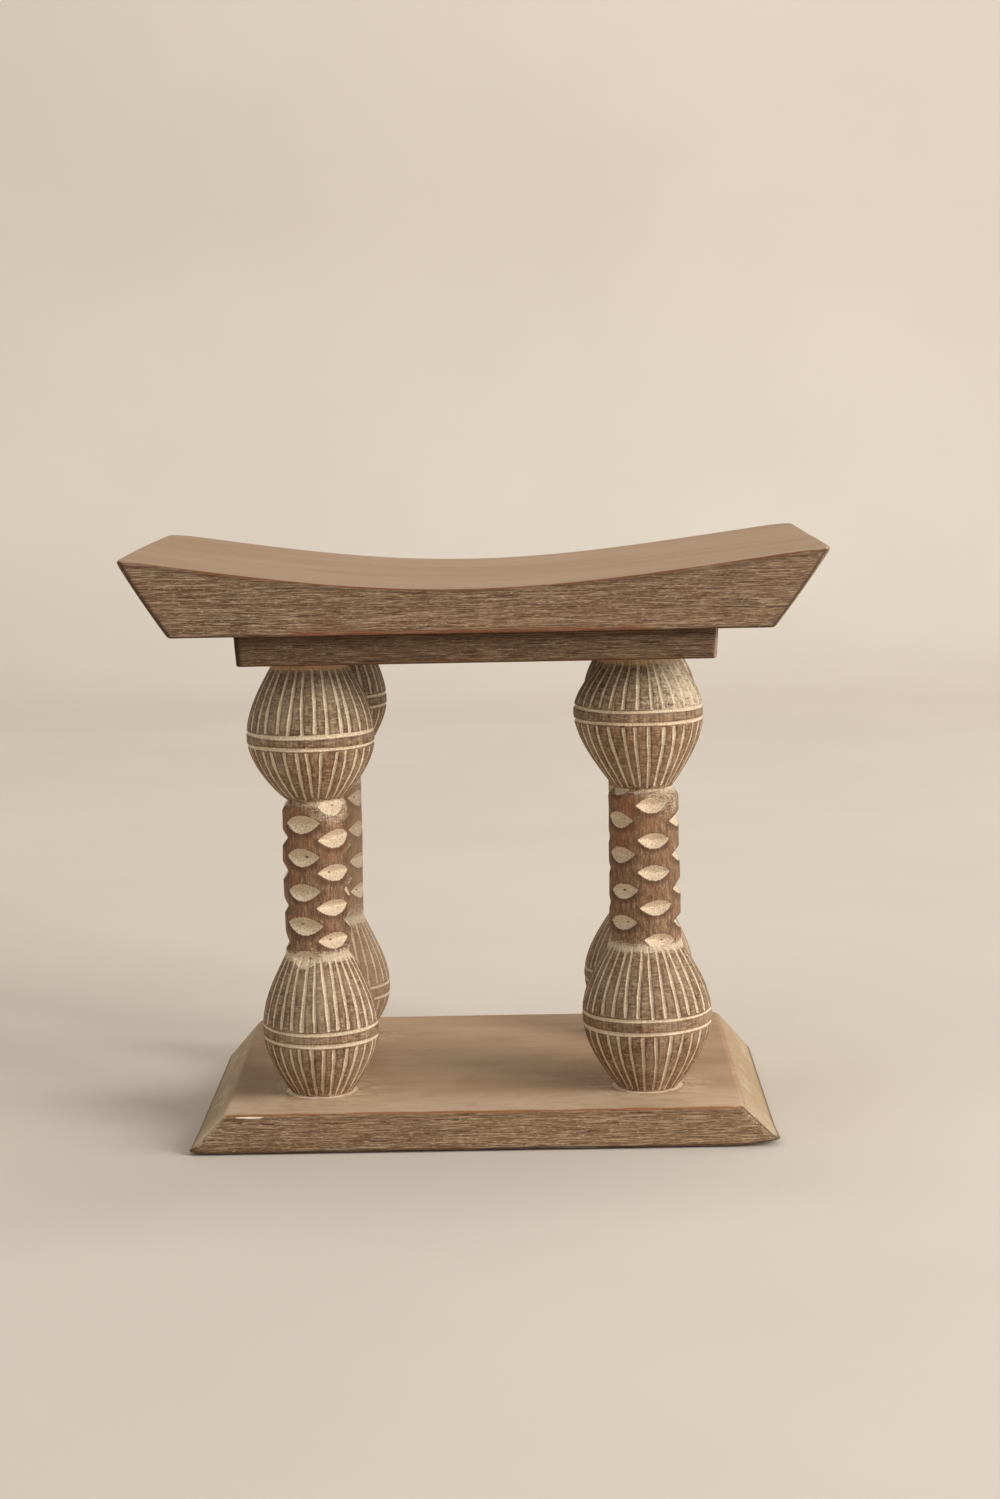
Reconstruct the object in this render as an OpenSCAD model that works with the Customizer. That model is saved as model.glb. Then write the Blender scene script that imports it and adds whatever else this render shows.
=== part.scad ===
// Four-pillared headrest: a saddle-shaped head board on an under board,
// four turned and carved pillars, and a base board with slanted ends.
// Origin: centre of the base board's underside. X runs along the boards,
// -Y is the front, +Z is up. Lists of four give the pillars in the order
// front left, front right, back left, back right.

/* [Head board] */
// Length of the head board, tip to tip
head_length = 300; // [270:1:330]
// Depth of the head board, front to back
head_depth = 185; // [170:1:200]
// Thickness of the head board under its tips
head_tip_thickness = 33.5; // [30:0.5:40]
// Depth of the saddle below the tips
saddle_dip = 15; // [8:0.5:15]
// Share of the saddle curve that turns back outwards near the tips
saddle_lip = 0.3; // [0:0.05:0.5]
// How far each slanted end leans out from bottom to tip
head_end_lean = 24; // [10:0.2:30]

/* [Under board] */
// Length of the under board
under_length = 202; // [185:1:215]
// Depth of the under board
under_depth = 171; // [150:1:180]
// Thickness of the under board
under_thickness = 13.2; // [10:0.2:16]

/* [Base board] */
// Length of the base board at its underside
base_length = 255; // [240:0.5:270]
// Depth of the base board
base_depth = 179; // [170:1:200]
// Thickness of the base board
base_thickness = 18.2; // [14:0.2:20]
// How far each slanted end leans in from bottom to top
base_end_lean = 15.8; // [8:0.2:20]

/* [Pillars] */
// Height of each pillar
pillar_height = 192; // [185:1:200]
// Distance of each pillar's axis left or right of the middle
pillar_x = [72.5, 71, 71.5, 71.5]; // [68:0.5:75]
// Distance of every pillar's axis in front of or behind the middle
pillar_y = 50; // [46:0.5:54]
// Height of the upper belly above the foot
upper_belly_height = [157.8, 166.2, 161.6, 163.2]; // [156:0.1:167]
// Radius of the upper belly
upper_belly_r = [27.9, 28.4, 26.6, 27]; // [25:0.1:29]
// Radius of the pillar's top end
top_r = [14.4, 15.4, 16.4, 16]; // [13:0.1:18]
// Height of the lower belly above the foot
lower_belly_height = [28.1, 32, 24.2, 29.2]; // [22:0.1:36]
// Radius of the lower belly
lower_belly_r = [25.6, 28.6, 24.6, 25.6]; // [23:0.1:29]
// Radius of the foot
foot_r = 13.3; // [12:0.1:15]
// Height of the narrow neck under the upper belly
neck_height = [130.6, 133, 131, 131.6]; // [130:0.2:134]
// Radius of the neck
neck_r = [12.2, 12.8, 12, 12.4]; // [11.5:0.1:13]
// Radius of the shaft between the neck and the lower shoulder
shaft_r = [14.2, 15.6, 13.6, 14.5]; // [13.2:0.1:16]
// Height where the shaft meets the lower belly's shoulder
shoulder_height = [62.5, 64.5, 58.5, 58.5]; // [57:0.5:65]

/* [Carving] */
// Height of the top crease of the first column of eye cuts above the foot
eye_top_height = [121.6, 126.4, 123.4, 122.6]; // [121:0.2:126.5]
// Direction of the first column of eye cuts, from the front towards the right
eye_turn = [-20, 20, 10, -5]; // [-30:1:30]
// Distance between one eye cut and the next below it
eye_pitch = 14.9; // [14:0.1:15.2]
// Eye cuts in each column
eye_rows = 4; // [3:1:4]
// Depth of an eye cut at its middle
eye_depth = 3.5; // [2.5:0.1:4]
// Height of the eye cut's upper face
eye_upper = 4.4; // [3.5:0.1:5]
// Height of the eye cut's lower face
eye_lower = 4.2; // [3:0.1:4.5]
// Distance between the two grooves of a belly band
band_gap = 5.6; // [4:0.1:7]
// Width of a band groove
groove_width = 1.6; // [0.8:0.1:2]
// Depth of a band groove
groove_depth = 0.7; // [0.4:0.1:1]

/* [Dowels and screws] */
// Radius of a dowel
dowel_r = 5; // [4:0.5:6]
// Depth of the dowel hole in the base board
base_bore = 9; // [8:0.5:11]
// Depth of the dowel hole in a pillar's foot
foot_bore = 16; // [12:0.5:20]
// Depth of the dowel hole in a pillar's top
top_bore = 20; // [14:0.5:22]
// Depth of the dowel hole in the head board
head_bore = 10; // [8:0.5:11]
// Radius of a wood screw's shank
screw_r = 2; // [1.75:0.05:2.25]
// Length of a wood screw
screw_length = 25; // [22:0.5:26]
// Distance of a screw from the middle along X
screw_x = 32; // [25:0.5:36]
// Distance of a screw from the middle along Y
screw_y = 56; // [50:0.5:60]

/* [Hidden] */
$fn = 96;

PLACES = ["front_left", "front_right", "back_left", "back_right"];
SIDE = [-1, 1, -1, 1];
ROW = [-1, -1, 1, 1];

foot_z = base_thickness;
under_z = foot_z + pillar_height;
head_z = under_z + under_thickness;

fit = 0.1;
end_gap = 1;
chamfer = 1;
through = 1;
saddle_steps = 36;
belly_steps = 12;
neck_flare = 4;
eye_columns = 6;
cutter_r = 14.4;
screw_head_r = 4;
screw_head_h = 2.4;
screw_tip = 5;
recess_depth = 1.5;
recess_width = 0.9;
recess_span = 4.4;

WOOD = [0.55, 0.43, 0.32];
PILLAR_WOOD = [0.52, 0.40, 0.30];
DOWEL_WOOD = [0.80, 0.66, 0.47];
STEEL = [0.62, 0.62, 0.63];

// Radius between a belly and one of its ends: a quarter of a cosine wave
function swell(belly, end, t) = end + (belly - end) * cos(90 * t);

// Depth of the two band grooves at a distance from the belly's middle
function band(d) =
    groove_depth * max(0, 1 - abs(abs(d) - band_gap / 2) / (groove_width / 2));

// Distances from a belly's middle where the band grooves start, bottom out and end
GROOVE = [
    band_gap / 2 - groove_width / 2,
    band_gap / 2,
    band_gap / 2 + groove_width / 2,
];

// Outline points from a belly's middle to one of its ends, over a height h (below zero is down)
function half_belly(z, h, belly, end) = [
    for (d = concat(GROOVE, [for (i = [2 : belly_steps]) abs(h) * i / belly_steps]))
        if (d <= GROOVE[2] || d > GROOVE[2] + 0.5)
            [swell(belly, end, d / abs(h)) - band(d), z + sign(h) * d]
];

function reversed(list) = [for (i = [len(list) - 1 : -1 : 0]) list[i]];

// One pillar's outline from its foot to its top
function pillar_outline(n) = concat(
    [[0, 0]],
    reversed(half_belly(lower_belly_height[n], -lower_belly_height[n], lower_belly_r[n], foot_r)),
    half_belly(lower_belly_height[n], shoulder_height[n] - lower_belly_height[n],
               lower_belly_r[n], shaft_r[n]),
    [for (t = [0 : 0.5 : 1]) [
        neck_r[n] + (shaft_r[n] - neck_r[n]) * cos(90 * t),
        neck_height[n] - neck_flare * (1 - t)
    ]],
    reversed(half_belly(upper_belly_height[n], neck_height[n] - upper_belly_height[n],
                        upper_belly_r[n], neck_r[n] + 0.2)),
    half_belly(upper_belly_height[n], pillar_height - upper_belly_height[n],
               upper_belly_r[n], top_r[n]),
    [[0, pillar_height]]
);

// Height of the saddle above its lowest line, for u from -1 to 1 along the board
function saddle(u) =
    saddle_dip * ((1 - saddle_lip) * u * u + saddle_lip * (1 - cos(180 * u)) / 2);

// Puts children at one pillar's foot
module at_pillar(n) {
    translate([SIDE[n] * pillar_x[n], ROW[n] * pillar_y, foot_z])
        children();
}

// Puts children under the head board at one screw's place
module at_screw(n) {
    translate([SIDE[n] * screw_x, ROW[n] * screw_y, under_z])
        children();
}

// Straight board standing on its outline in X and Z, centred front to back
module board(depth) {
    rotate([90, 0, 0])
        linear_extrude(height = depth, center = true)
            children();
}

// Round peg with chamfered ends, standing on the origin
module peg(r, length, c) {
    rotate_extrude()
        polygon([[0, 0], [r - c, 0], [r, c], [r, length - c], [r - c, length], [0, length]]);
}

// Space that a countersunk screw takes, grown all round by a gap
module screw_space(gap) {
    r = screw_r + gap;
    head_r = screw_head_r + gap;
    rotate_extrude()
        polygon([
            [0, 0], [head_r, 0], [r, screw_head_h + gap],
            [r, screw_length - screw_tip + gap], [0, screw_length + gap],
        ]);
}

// Double cone that scoops one eye cut: its rim is the crease
module eye_cutter() {
    spare = 0.4;
    upper_r = cutter_r - eye_depth * (eye_upper + spare) / eye_upper;
    lower_r = cutter_r - eye_depth * (eye_lower + spare) / eye_lower;
    rotate_extrude()
        polygon([
            [0, -eye_lower - spare], [lower_r, -eye_lower - spare], [cutter_r, 0],
            [upper_r, eye_upper + spare], [0, eye_upper + spare],
        ]);
}

// All eye cuts of one pillar: columns round the shaft, every second one half a pitch lower
module eye_cuts(n) {
    for (column = [0 : eye_columns - 1], row = [0 : eye_rows - 1]) {
        drop = (row + (column % 2) / 2) * eye_pitch;
        rotate([0, 0, eye_turn[n] - 90 + column * 360 / eye_columns])
            translate([shaft_r[n] - eye_depth + cutter_r, 0, eye_top_height[n] - drop])
                eye_cutter();
    }
}

module head_board() {
    top_z = head_tip_thickness - saddle_dip;
    color(WOOD)
        difference() {
            translate([0, 0, head_z])
                board(head_depth)
                    polygon(concat(
                        [[-head_length / 2 + head_end_lean, 0], [head_length / 2 - head_end_lean, 0]],
                        [for (i = [saddle_steps : -1 : -saddle_steps])
                            let (u = i / saddle_steps) [u * head_length / 2, top_z + saddle(u)]]
                    ));
            for (n = [0 : 3]) {
                at_pillar(n)
                    translate([0, 0, pillar_height + under_thickness - through])
                        cylinder(r = dowel_r + fit, h = head_bore + through);
                at_screw(n)
                    screw_space(fit);
            }
        }
}

module under_board() {
    color(WOOD)
        difference() {
            translate([-under_length / 2, -under_depth / 2, under_z])
                cube([under_length, under_depth, under_thickness]);
            for (n = [0 : 3]) {
                at_pillar(n)
                    translate([0, 0, pillar_height - through])
                        cylinder(r = dowel_r + fit, h = under_thickness + 2 * through);
                at_screw(n)
                    screw_space(fit);
            }
        }
}

module base_board() {
    top_length = base_length - 2 * base_end_lean;
    color(WOOD)
        difference() {
            board(base_depth)
                polygon([
                    [-base_length / 2, 0], [base_length / 2, 0],
                    [top_length / 2, base_thickness], [-top_length / 2, base_thickness],
                ]);
            for (n = [0 : 3])
                at_pillar(n)
                    translate([0, 0, -base_bore])
                        cylinder(r = dowel_r + fit, h = base_bore + through);
        }
}

module pillar(n) {
    color(PILLAR_WOOD)
        at_pillar(n)
            difference() {
                rotate_extrude()
                    polygon(pillar_outline(n));
                eye_cuts(n);
                translate([0, 0, -through])
                    cylinder(r = dowel_r + fit, h = foot_bore + through);
                translate([0, 0, pillar_height - top_bore])
                    cylinder(r = dowel_r + fit, h = top_bore + through);
            }
}

// Dowel that ties a pillar's top, the under board and the head board together
module top_dowel(n) {
    color(DOWEL_WOOD)
        at_pillar(n)
            translate([0, 0, pillar_height - top_bore])
                peg(dowel_r, top_bore + under_thickness + head_bore - end_gap, chamfer);
}

// Dowel between a pillar's foot and the base board
module foot_dowel(n) {
    color(DOWEL_WOOD)
        at_pillar(n)
            translate([0, 0, -base_bore])
                peg(dowel_r, base_bore + foot_bore - end_gap, chamfer);
}

// Countersunk wood screw, driven up through the under board, with a cross recess
module screw(n) {
    color(STEEL)
        at_screw(n)
            difference() {
                screw_space(0);
                for (turn = [0, 90])
                    rotate([0, 0, turn])
                        translate([-recess_span / 2, -recess_width / 2, -through])
                            cube([recess_span, recess_width, recess_depth + through]);
            }
}

head_board();
under_board();
base_board();
for (n = [0 : 3]) {
    pillar(n);
    top_dowel(n);
    foot_dowel(n);
    screw(n);
}
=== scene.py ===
import math

import bpy
import numpy as np
from mathutils import Matrix, Vector, noise


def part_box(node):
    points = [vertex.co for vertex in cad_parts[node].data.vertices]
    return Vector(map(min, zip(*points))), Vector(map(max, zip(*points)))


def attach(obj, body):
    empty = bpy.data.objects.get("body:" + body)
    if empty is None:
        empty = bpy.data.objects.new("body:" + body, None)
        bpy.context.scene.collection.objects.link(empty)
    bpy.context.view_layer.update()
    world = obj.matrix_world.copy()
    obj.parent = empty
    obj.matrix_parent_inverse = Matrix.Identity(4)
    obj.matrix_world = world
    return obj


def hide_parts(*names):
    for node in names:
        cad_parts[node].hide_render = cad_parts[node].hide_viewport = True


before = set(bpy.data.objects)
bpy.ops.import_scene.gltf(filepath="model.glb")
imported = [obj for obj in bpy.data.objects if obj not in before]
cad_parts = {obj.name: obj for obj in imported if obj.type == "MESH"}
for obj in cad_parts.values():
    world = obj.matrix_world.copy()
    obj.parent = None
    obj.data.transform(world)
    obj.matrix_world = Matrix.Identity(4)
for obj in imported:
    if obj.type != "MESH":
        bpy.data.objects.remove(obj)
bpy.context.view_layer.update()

MM = 0.001
PLACES = ("front_left", "front_right", "back_left", "back_right")


# ---------------------------------------------------------------- camera

CAMERA_AT = (0.02235, -1.252, 0.33406)
CAMERA_YAW = 0.0112
CAMERA_PITCH = 0.1369
CAMERA_ROLL = -0.0197
CAMERA_LENS_MM = 67.1


def add_camera():
    """A camera that looks along +Y, a little down, and is rolled slightly as a hand-held one is."""
    cy, sy = math.cos(CAMERA_YAW), math.sin(CAMERA_YAW)
    cp, sp = math.cos(CAMERA_PITCH), math.sin(CAMERA_PITCH)
    forward = Vector((-sy * cp, cy * cp, -sp))
    right = Vector((cy, sy, 0))
    up = right.cross(forward)
    cr, sr = math.cos(CAMERA_ROLL), math.sin(CAMERA_ROLL)
    x_axis = cr * right + sr * up
    y_axis = cr * up - sr * right
    data = bpy.data.cameras.new("camera")
    data.lens = CAMERA_LENS_MM
    data.sensor_width = 36
    data.sensor_fit = "AUTO"
    data.clip_end = 20
    camera = bpy.data.objects.new("camera", data)
    turn = Matrix((x_axis, y_axis, -forward)).transposed().to_4x4()
    camera.matrix_world = Matrix.Translation(CAMERA_AT) @ turn
    bpy.context.scene.collection.objects.link(camera)
    bpy.context.scene.camera = camera


# ---------------------------------------------------------------- node helpers

def colour(r, g, b):
    """An sRGB colour from 0 to 255 as the linear RGBA that nodes take."""
    linear = [c / 255 / 12.92 if c <= 10 else ((c / 255 + 0.055) / 1.055) ** 2.4 for c in (r, g, b)]
    return (*linear, 1.0)


class Shader:
    """Builds one material's nodes. Each method adds a node and returns its output socket."""

    def __init__(self, name, roughness, specular):
        self.material = bpy.data.materials.new(name)
        self.material.use_nodes = True
        self.nodes = self.material.node_tree.nodes
        self.links = self.material.node_tree.links
        self.surface = self.nodes["Principled BSDF"]
        self.surface.inputs["Roughness"].default_value = roughness
        self.surface.inputs["Specular IOR Level"].default_value = specular
        self.place = self.node("ShaderNodeTexCoord").outputs["Object"]

    def node(self, kind, **settings):
        made = self.nodes.new(kind)
        for key, value in settings.items():
            setattr(made, key, value)
        return made

    def put(self, socket, value):
        if isinstance(value, bpy.types.NodeSocket):
            self.links.new(value, socket)
        elif value is not None:
            socket.default_value = value

    def attribute(self, name):
        return self.node("ShaderNodeAttribute", attribute_name=name).outputs["Fac"]

    def noise(self, stretch, detail=3.0, rough=0.55, shift=0.0, distortion=0.0):
        """Noise from 0 to 1 whose grains are 1 / stretch metres in each direction."""
        mapping = self.node("ShaderNodeMapping")
        self.put(mapping.inputs["Vector"], self.place)
        mapping.inputs["Scale"].default_value = stretch
        mapping.inputs["Location"].default_value = (shift, shift * 1.7, shift * 0.6)
        made = self.node("ShaderNodeTexNoise")
        self.put(made.inputs["Vector"], mapping.outputs["Vector"])
        made.inputs["Scale"].default_value = 1.0
        made.inputs["Detail"].default_value = detail
        made.inputs["Roughness"].default_value = rough
        made.inputs["Distortion"].default_value = distortion
        return made.outputs["Fac"]

    def math(self, operation, a, b=None, c=None, clamp=False):
        made = self.node("ShaderNodeMath", operation=operation, use_clamp=clamp)
        for socket, value in zip(made.inputs, (a, b, c)):
            self.put(socket, value)
        return made.outputs[0]

    def times(self, *values):
        result = values[0]
        for value in values[1:]:
            result = self.math("MULTIPLY", result, value, clamp=True)
        return result

    def step(self, value, low, high, to_low=0.0, to_high=1.0):
        """Smooth step of value from low to high."""
        made = self.node("ShaderNodeMapRange", interpolation_type="SMOOTHSTEP")
        for key, number in (("Value", value), ("From Min", low), ("From Max", high),
                            ("To Min", to_low), ("To Max", to_high)):
            self.put(made.inputs[key], number)
        return made.outputs["Result"]

    def ragged(self, value, grain, reach, low, high):
        """Smooth step of value after grain has torn its edge by up to half of reach."""
        torn = self.math("MULTIPLY_ADD", self.math("SUBTRACT", grain, 0.5), reach, value)
        return self.step(torn, low, high)

    def mix(self, amount, a, b):
        made = self.node("ShaderNodeMix", data_type="RGBA")
        self.put(made.inputs["Factor"], amount)
        self.put(made.inputs["A"], a)
        self.put(made.inputs["B"], b)
        return made.outputs["Result"]

    def finish(self, base, height=None, height_mm=0.0, roughness=None):
        self.put(self.surface.inputs["Base Color"], base)
        self.put(self.surface.inputs["Roughness"], roughness)
        if height is not None:
            bump = self.node("ShaderNodeBump")
            bump.inputs["Strength"].default_value = 1.0
            bump.inputs["Distance"].default_value = height_mm * MM
            self.put(bump.inputs["Height"], height)
            self.put(self.surface.inputs["Normal"], bump.outputs["Normal"])
        return self.material


# ---------------------------------------------------------------- materials

# Between the two lamps on the right, seen from above
LAMP_FOOT = (2.3, -1.15)
# sRGB colour of open pores, and of the dark rims and painted shade along the boards' edges
PORE_AND_SHADE = (66, 45, 31)


def distance_from(s, x, y):
    """Distance in metres from an upright axis."""
    flat = s.node("ShaderNodeVectorMath", operation="MULTIPLY")
    s.put(flat.inputs[0], s.place)
    flat.inputs[1].default_value = (1, 1, 0)
    away = s.node("ShaderNodeVectorMath", operation="DISTANCE")
    s.put(away.inputs[0], flat.outputs["Vector"])
    away.inputs[1].default_value = (x, y, 0)
    return away.outputs["Value"]


def distance_to_feet(s):
    """Distance in millimetres from the nearest pillar's axis, seen from above."""
    nearest = None
    for place in PLACES:
        distance = distance_from(s, *pillar_axis(place))
        nearest = distance if nearest is None else s.math("MINIMUM", nearest, distance)
    return s.math("DIVIDE", nearest, MM)


def limed_side(s, tone, cloud, figure, lines, specks, shift):
    """Colour of the upright faces: brown open-grained wood with lime left in the grain."""
    strands = s.noise((64, 2000, 2200), detail=3, rough=0.6, shift=shift)
    brown = s.mix(s.step(figure, 0.3, 0.7), tone(108, 80, 56), tone(126, 97, 71))
    brown = s.mix(s.step(strands, 0.5, 0.34), brown, tone(66, 44, 29))
    limed = s.times(s.step(lines, 0.5, 0.62), s.step(cloud, 0.3, 0.68, 0.65, 1.0))
    side = s.mix(s.times(limed, 0.76), brown, tone(180, 157, 128))
    side = s.mix(s.times(s.step(specks, 0.56, 0.68), 0.6), side, tone(206, 189, 164))
    return s.mix(s.times(s.step(specks, 0.44, 0.32), 0.6), side, tone(*PORE_AND_SHADE))


def rubbed_top(s, tone, cloud, figure, lines, specks, shift):
    """Colour of the rubbed faces: paler, with only a trace of the grain."""
    threads = s.noise((24, 420, 420), detail=4, rough=0.65, shift=shift + 3)
    rubbed = s.mix(s.step(figure, 0.28, 0.72), tone(164, 135, 107), tone(176, 148, 120))
    rubbed = s.mix(s.times(s.step(cloud, 0.4, 0.75), 0.3), rubbed, tone(190, 166, 140))
    rubbed = s.mix(s.times(s.step(lines, 0.46, 0.3), 0.3), rubbed, tone(132, 103, 78))
    rubbed = s.mix(s.times(s.step(threads, 0.48, 0.34), 0.26), rubbed, tone(138, 109, 82))
    return s.mix(s.times(s.step(specks, 0.58, 0.74), 0.16), rubbed, tone(206, 186, 160))


def stained_base(s, tone, rubbed, x, y):
    """Marks on the base board's top: stains, a painted shadow at the left, paler at the front and
    round the feet, and darker just round each foot.
    """
    stain = s.noise((13, 20, 20), detail=4, rough=0.6, shift=14)
    scratch = s.noise((420, 420, 420), detail=5, rough=0.75, shift=7)
    smear = s.noise((90, 200, 200), detail=4, rough=0.7, shift=17)
    away = distance_to_feet(s)
    rubbed = s.mix(s.times(s.step(stain, 0.45, 0.62), 0.5), rubbed, tone(140, 111, 78))
    haze = s.times(s.step(away, 36, 15), s.step(smear, 0.4, 0.58), s.step(scratch, 0.34, 0.56), 0.9)
    rubbed = s.mix(haze, rubbed, tone(204, 182, 156))
    # Painted shadow of the front left pillar, toward the left end
    left = s.times(s.step(x, -0.075, -0.105), s.step(y, -0.08, -0.06))
    left = s.times(left, s.step(smear, 0.25, 0.6, 0.6, 1.0), 0.55)
    rubbed = s.mix(left, rubbed, tone(112, 85, 60))
    front = s.times(s.step(y, -0.05, -0.08), s.step(smear, 0.3, 0.6, 0.5, 1.0), 0.6)
    rubbed = s.mix(front, rubbed, tone(200, 178, 153))
    # Darker just round each foot
    grime = s.times(s.step(away, 18.5, 14.5), s.step(scratch, 0.5, 0.38), 0.8)
    rubbed = s.mix(grime, rubbed, tone(98, 74, 54))
    ring = s.times(s.step(away, 12.5, 13.5), s.step(away, 17.0, 14.2))
    return s.mix(s.ragged(ring, scratch, 1.2, 0.35, 0.7), rubbed, tone(228, 211, 186))


def scuffed_ends(s, tone, face, shift):
    """Paler, mottled end grain where the end attribute is set."""
    end = s.attribute("end")
    scuff = s.noise((110, 60, 160), detail=4, rough=0.7, shift=shift + 5)
    pores = s.noise((700, 500, 1500), detail=3, rough=0.6, shift=shift + 6)
    face = s.mix(s.times(end, s.step(scuff, 0.3, 0.6, 0.4, 0.75)), face, tone(152, 133, 104))
    face = s.mix(s.times(end, s.step(scuff, 0.52, 0.68), 0.4), face, tone(204, 186, 158))
    return s.mix(s.times(end, s.step(pores, 0.48, 0.34), 0.42), face, tone(112, 86, 60))


def worn_edges(s, tone, face, arris, specks, shift):
    """Red worn arrises, dark rims with painted shade, dust and splinters, where the board's attributes
    set them.
    """
    patchy = s.noise((60, 300, 300), detail=3, shift=shift + 2)
    red = s.times(s.attribute("worn"), s.step(patchy, 0.3, 0.6, 0.5, 1.0))
    rim = s.ragged(s.attribute("rim"), specks, 0.5, 0.1, 0.95)
    dust = s.ragged(s.attribute("dust"), specks, 2.2, 0.45, 0.9)
    chip = s.ragged(s.attribute("chip"), specks, 0.5, 0.3, 0.6)
    face = s.mix(s.times(s.ragged(red, specks, 1.0, 0.2, 0.85), 0.85), face, tone(*arris))
    face = s.mix(s.times(rim, 0.85), face, tone(*PORE_AND_SHADE))
    face = s.mix(s.times(dust, 0.6), face, colour(210, 190, 163))
    return s.mix(chip, face, tone(226, 208, 182))


def board_material(name, shade, arris, shift=0.0, feet=False):
    """Open-grained wood along X, limed on its upright faces and rubbed smooth on top."""
    s = Shader(name, roughness=0.6, specular=0.25)
    smooth = s.attribute("smooth")
    cloud = s.noise((14, 26, 30), detail=3, rough=0.6, shift=shift)
    figure = s.noise((5, 60, 60), detail=3, rough=0.5, shift=shift, distortion=0.4)
    lines = s.noise((84, 2600, 2900), detail=2, rough=0.6, shift=shift + 4)
    specks = s.noise((420, 3000, 3400), detail=3, rough=0.65, shift=shift + 8)
    where = s.node("ShaderNodeSeparateXYZ")
    s.put(where.inputs[0], s.place)

    def tone(r, g, b):
        return colour(*(min(255, c * k) for c, k in zip((r, g, b), shade)))

    side = limed_side(s, tone, cloud, figure, lines, specks, shift)
    rubbed = rubbed_top(s, tone, cloud, figure, lines, specks, shift)
    if feet:
        rubbed = stained_base(s, tone, rubbed, where.outputs["X"], where.outputs["Y"])
    else:
        # Painted shade: the top darker toward its left end
        painted_shade_to_left = s.step(where.outputs["X"], 0.03, -0.14)
        rubbed = s.mix(s.times(painted_shade_to_left, 0.22), rubbed, tone(124, 98, 74))
    face = s.mix(smooth, side, rubbed)
    face = scuffed_ends(s, tone, face, shift)
    face = worn_edges(s, tone, face, arris, specks, shift)

    height = s.math("MULTIPLY_ADD", specks, 0.5, s.math("MULTIPLY", lines, 0.7))
    height = s.math("MULTIPLY", height, s.math("MULTIPLY_ADD", smooth, -0.8, 1.0))
    rough = s.math("MULTIPLY_ADD", smooth, -0.08, 0.66)
    return s.finish(face, height, height_mm=0.35, roughness=rough)


def belly_colour(s, grain, turned, cloud, patches):
    """Grey or warm brown ribs, the grey partly painted light from above, with marks left by turning,
    and painted shade beside the grooves.
    """
    grey = s.mix(s.step(grain, 0.34, 0.66), colour(98, 80, 62), colour(150, 127, 101))
    brown = s.mix(s.step(grain, 0.34, 0.66), colour(98, 70, 50), colour(148, 114, 84))
    # Upper halves greyer and lower halves warmer: partly the wood's tone, partly painted light from
    # above
    belly = s.mix(s.attribute("warm"), grey, brown)
    belly = s.mix(s.times(s.step(turned, 0.52, 0.68), 0.6), belly, colour(188, 168, 140))
    belly = s.mix(s.times(s.step(turned, 0.48, 0.32), 0.7), belly, colour(64, 46, 33))
    belly = s.mix(s.times(s.step(cloud, 0.45, 0.72), 0.4), belly, colour(176, 157, 131))
    # Painted shade beside the grooves
    groove_shade = s.times(s.step(s.attribute("edge"), 0.25, 0.8), s.step(patches, 0.3, 0.55, 0.45, 1.0), 0.6)
    return s.mix(groove_shade, belly, colour(60, 42, 30))


def shaft_colour(s, speck, patches):
    """Brown, partly reddish wood between the eye cuts, with painted shade round them."""
    fibre = s.noise((1100, 1100, 240), detail=4, rough=0.7, shift=12)
    bark = s.mix(s.step(fibre, 0.32, 0.66), colour(92, 66, 48), colour(142, 111, 84))
    bark = s.mix(s.times(s.step(patches, 0.5, 0.66), 0.55), bark, colour(146, 92, 62))
    bark = s.mix(s.times(s.step(fibre, 0.58, 0.72), 0.6), bark, colour(188, 164, 134))
    bark = s.mix(s.times(s.step(speck, 0.56, 0.7), 0.45), bark, colour(198, 176, 148))
    # Painted shade round the eye cuts
    return s.mix(s.times(s.attribute("shade"), 0.6), bark, colour(74, 50, 35))


def lime_colour(s, speck, cloud):
    chalk = s.mix(s.step(speck, 0.34, 0.62), colour(176, 152, 124), colour(221, 203, 178))
    return s.mix(s.times(s.step(cloud, 0.5, 0.7), 0.4), chalk, colour(228, 212, 188))


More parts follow.
